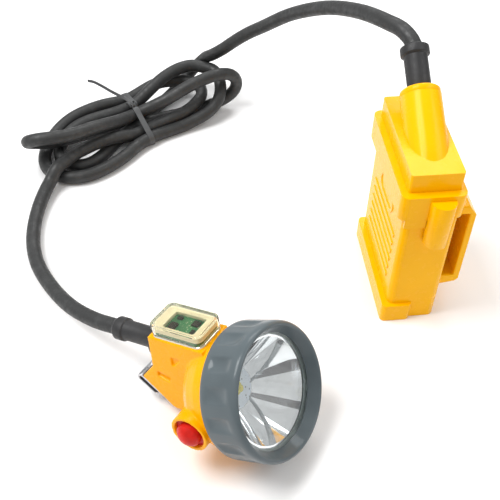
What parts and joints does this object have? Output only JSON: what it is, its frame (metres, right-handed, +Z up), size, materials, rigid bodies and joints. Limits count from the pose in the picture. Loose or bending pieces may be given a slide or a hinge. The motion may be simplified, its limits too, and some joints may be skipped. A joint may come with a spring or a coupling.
{
  "type": "miner's cap lamp",
  "caption": "Miner's cap lamp: a yellow battery box with a belt loop, joined by a tied hank of black cord to a headpiece with a screw-on bezel, clear window, red button and helmet hook.",
  "frame": {"origin": "centre of the battery base, on the floor", "axes": "+Z up out of the battery's base, +X out through the belt loop, +Y along the battery's length towards its cord"},
  "size_m": [0.2838, 0.3612, 0.1485],
  "materials": {
    "battery_yellow": "gloss",
    "head_amber": "gloss",
    "bezel_grey": "satin",
    "black_rubber": "matte",
    "cord_jacket": "matte",
    "clear_glass": "clear",
    "clear_window": "clear",
    "mirror_cone": "polished",
    "hook_steel": "brushed",
    "white_board": "satin",
    "green_board": "satin",
    "black_chip": "satin",
    "led_phosphor": "satin",
    "button_red": "satin",
    "cell_wrap": "satin",
    "nickel": "satin",
    "alloy": "satin",
    "wire_jacket": "satin",
    "foam": "matte",
    "pale_silicone": "satin",
    "tie_band": "matte"
  },
  "bodies": {
    "lamp_set": {"battery_case": "battery_yellow", "belt_loop": "battery_yellow", "battery_lid": "battery_yellow", "lid_gasket": "black_rubber", "lock_pins": "nickel", "cell_pack": "cell_wrap", "cell_pad": "foam", "cell_tabs": "nickel", "protection_board": "green_board", "protection_parts": "black_chip", "battery_wires": "wire_jacket", "tower_nut": "battery_yellow", "tower_seal": "black_rubber", "battery_sleeve": "black_rubber", "battery_lead": "cord_jacket", "cord_bundle": "cord_jacket", "twist_tie": "tie_band", "lamp_lead": "cord_jacket", "lamp_sleeve": "black_rubber", "head_shell": "head_amber", "hook_plate": "hook_steel", "hook_pad": "black_rubber", "hook_screws": "hook_steel", "window_cover": "clear_window", "window_gasket": "pale_silicone", "status_board": "green_board", "status_parts": "black_chip", "heat_sink": "alloy", "led_board": "white_board", "main_led": "led_phosphor", "reflector": "mirror_cone", "switch_body": "black_chip", "switch_spring": "nickel", "head_wires": "wire_jacket"},
    "button": {"switch_button": "button_red"},
    "lens_carrier": {"lens_glass": "clear_glass", "lens_gasket": "pale_silicone"},
    "bezel": {"bezel_ring": "bezel_grey"}
  },
  "joints": [
    {"name": "button_press", "type": "slide", "parent": "lamp_set", "child": "button", "axis": [0.6032, 0.7916, -0.0975], "range_m": [0, 0.002], "stiffness_N_per_m": 600, "springref_m": -0.0003, "deforming": ["switch_spring"]},
    {"name": "lens_travel", "type": "slide", "parent": "lamp_set", "child": "lens_carrier", "axis": [0.7143, -0.4818, 0.5075], "range_m": [0, 0.0045]},
    {"name": "bezel_turn", "type": "hinge", "parent": "lens_carrier", "child": "bezel", "pos_m": [-0.0891, -0.11408, 0.04552], "axis": [0.7143, -0.4818, 0.5075], "range_deg": [0, 540]}
  ],
  "couplings": [
    {"joint": "bezel_turn", "follows": "lens_travel", "rad_per_m": 2094.4}
  ]
}
